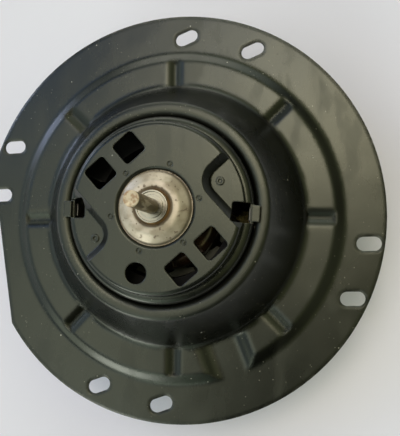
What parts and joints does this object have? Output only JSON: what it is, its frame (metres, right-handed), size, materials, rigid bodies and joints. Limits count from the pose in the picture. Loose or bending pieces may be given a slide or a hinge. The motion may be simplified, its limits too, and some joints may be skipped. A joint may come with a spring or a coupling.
{
  "type": "car cabin blower motor",
  "caption": "Round black flanged blower motor with a drawn dome, vented motor can, plain steel shaft and rear plug.",
  "frame": {"origin": "centre of the mounting flange, on its front face that seats round the blower opening", "axes": "+Z along the shaft to its free end, +X to the flange's right-hand rib, +Y to its top rib; the terminal block points along -Y"},
  "size_m": [0.196, 0.196, 0.1253],
  "materials": {
    "black_paint": "satin black paint on drawn steel sheet",
    "zinc_plate": "dull zinc plate, slightly yellowed",
    "spring_steel": "bright rolled steel",
    "shaft_steel": "ground steel with a thin brown rust",
    "core_steel": "stacked electrical steel sheet",
    "sintered_bronze": "dull oil-soaked sintered bronze",
    "brass_sheet": "plain brass sheet",
    "copper": "bare copper",
    "magnet_wire": "enamelled copper wire",
    "ferrite": "ground grey-black ferrite",
    "carbon": "pressed carbon and copper",
    "felt": "oil-soaked felt",
    "black_resin": "moulded black phenolic",
    "insulating_plastic": "pale moulded nylon"
  },
  "bodies": {
    "motor_frame": {"mounting_flange": "black_paint", "motor_can": "black_paint", "front_bearing_housing": "zinc_plate", "front_bearing": "sintered_bronze", "front_oil_wick": "felt", "front_bearing_retainer": "spring_steel", "rear_end_cap": "zinc_plate", "rear_bearing": "sintered_bronze", "rear_oil_wick": "felt", "rear_bearing_retainer": "spring_steel", "magnet_upper": "ferrite", "magnet_lower": "ferrite", "magnet_clip_right": "spring_steel", "magnet_clip_left": "spring_steel", "brush_card": "black_resin", "brush_card_rivets": "zinc_plate", "brush_holder_right": "brass_sheet", "brush_holder_left": "brass_sheet", "brush_spring_right": "spring_steel", "brush_spring_left": "spring_steel", "brush_lead_right": "copper", "brush_lead_left": "copper", "terminal_block": "black_resin", "terminal_positive": "brass_sheet", "terminal_negative": "brass_sheet"},
    "rotor": {"shaft": "shaft_steel", "oil_slinger": "spring_steel", "front_thrust_washer": "insulating_plastic", "rear_thrust_washer": "insulating_plastic", "front_spacer": "insulating_plastic", "armature_core": "core_steel", "front_insulator": "insulating_plastic", "rear_insulator": "insulating_plastic", "armature_winding": "magnet_wire", "commutator_hub": "black_resin", "commutator_bars": "copper"},
    "brush_body_right": {"brush_right": "carbon"},
    "brush_body_left": {"brush_left": "carbon"}
  },
  "joints": [
    {"name": "rotor_spin", "type": "hinge", "parent": "motor_frame", "child": "rotor", "pos_m": [0, 0, 0], "axis": [0, 0, 1], "continuous": true},
    {"name": "brush_slide_right", "type": "slide", "parent": "motor_frame", "child": "brush_body_right", "axis": [1, 0, 0], "range_m": [0, 0.003], "stiffness_N_per_m": 300, "springref_m": -0.004, "deforming": ["brush_spring_right", "brush_lead_right"]},
    {"name": "brush_slide_left", "type": "slide", "parent": "motor_frame", "child": "brush_body_left", "axis": [-1, 0, 0], "range_m": [0, 0.003], "stiffness_N_per_m": 300, "springref_m": -0.004, "deforming": ["brush_spring_left", "brush_lead_left"]}
  ]
}
